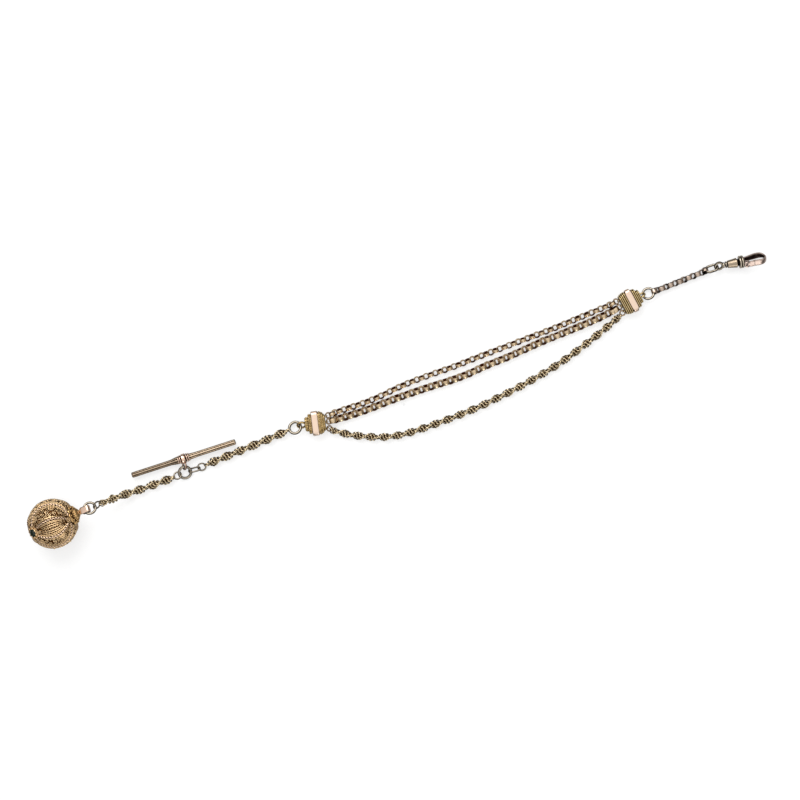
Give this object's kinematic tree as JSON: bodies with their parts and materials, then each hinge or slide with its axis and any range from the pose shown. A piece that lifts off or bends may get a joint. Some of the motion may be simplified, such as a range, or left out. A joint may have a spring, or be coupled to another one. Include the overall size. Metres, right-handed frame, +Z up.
{
  "type": "watch chain",
  "caption": "Watch chain with a ball fob, T-bar, twisted rope and belcher strands between two slides, and a swivel clip.",
  "frame": {"origin": "centre of the bounding box, on the surface that the chain lies on", "axes": "+X along the chain from the ball to the clip, +Z up from the surface, +Y towards the T-bar"},
  "size_m": [0.2605, 0.0218, 0.0166],
  "materials": {
    "yellow_gold": "worked yellow gold, matted ground with bright wires",
    "old_gold": "old gold with dark recesses",
    "rose_gold": "polished rose gold, softly worn",
    "peach_gold": "polished pale rose gold",
    "grey_gold": "worn greyish gold wire",
    "pink_gold": "pink gold band, dark inside",
    "dark_stone": "polished dark green-black stone"
  },
  "bodies": {
    "chain": {"ball_shell": "yellow_gold", "ball_setting": "grey_gold", "ball_stone": "dark_stone", "ball_cap": "yellow_gold", "ball_bail": "rose_gold", "ball_ring": "grey_gold", "rope_ring_1": "grey_gold", "rope_lower": "old_gold", "rope_ring_2": "grey_gold", "tbar_ring": "grey_gold", "tbar": "rose_gold", "oval_link": "grey_gold", "rope_ring_3": "grey_gold", "rope_upper": "old_gold", "slide_ring_left": "grey_gold", "slide_left": "yellow_gold", "slide_left_plate": "peach_gold", "left_link_top": "rose_gold", "left_link_middle": "rose_gold", "left_link_swag": "rose_gold", "belcher_top": "rose_gold", "belcher_middle": "rose_gold", "rope_swag": "old_gold", "right_link_top": "rose_gold", "right_link_middle": "rose_gold", "right_link_swag": "rose_gold", "slide_right": "yellow_gold", "slide_right_plate": "peach_gold", "slide_ring_right": "grey_gold", "belcher_end": "rose_gold", "open_link": "grey_gold", "swivel_eye": "grey_gold"},
    "hook": {"clip_barrel": "old_gold", "clip_collar": "grey_gold", "clip_hook": "pink_gold"},
    "gate": {"clip_gate": "pink_gold"}
  },
  "joints": [
    {"name": "clip_swivel", "type": "hinge", "parent": "chain", "child": "hook", "pos_m": [0.117, 0.007, 0.0025], "axis": [0.9863, -0.165, 0], "continuous": true},
    {"name": "clip_gate", "type": "hinge", "parent": "hook", "child": "gate", "pos_m": [0.12328, 0.00483, 0.00392], "axis": [0.1301, 0.7772, 0.6157], "range_deg": [0, 30]}
  ]
}
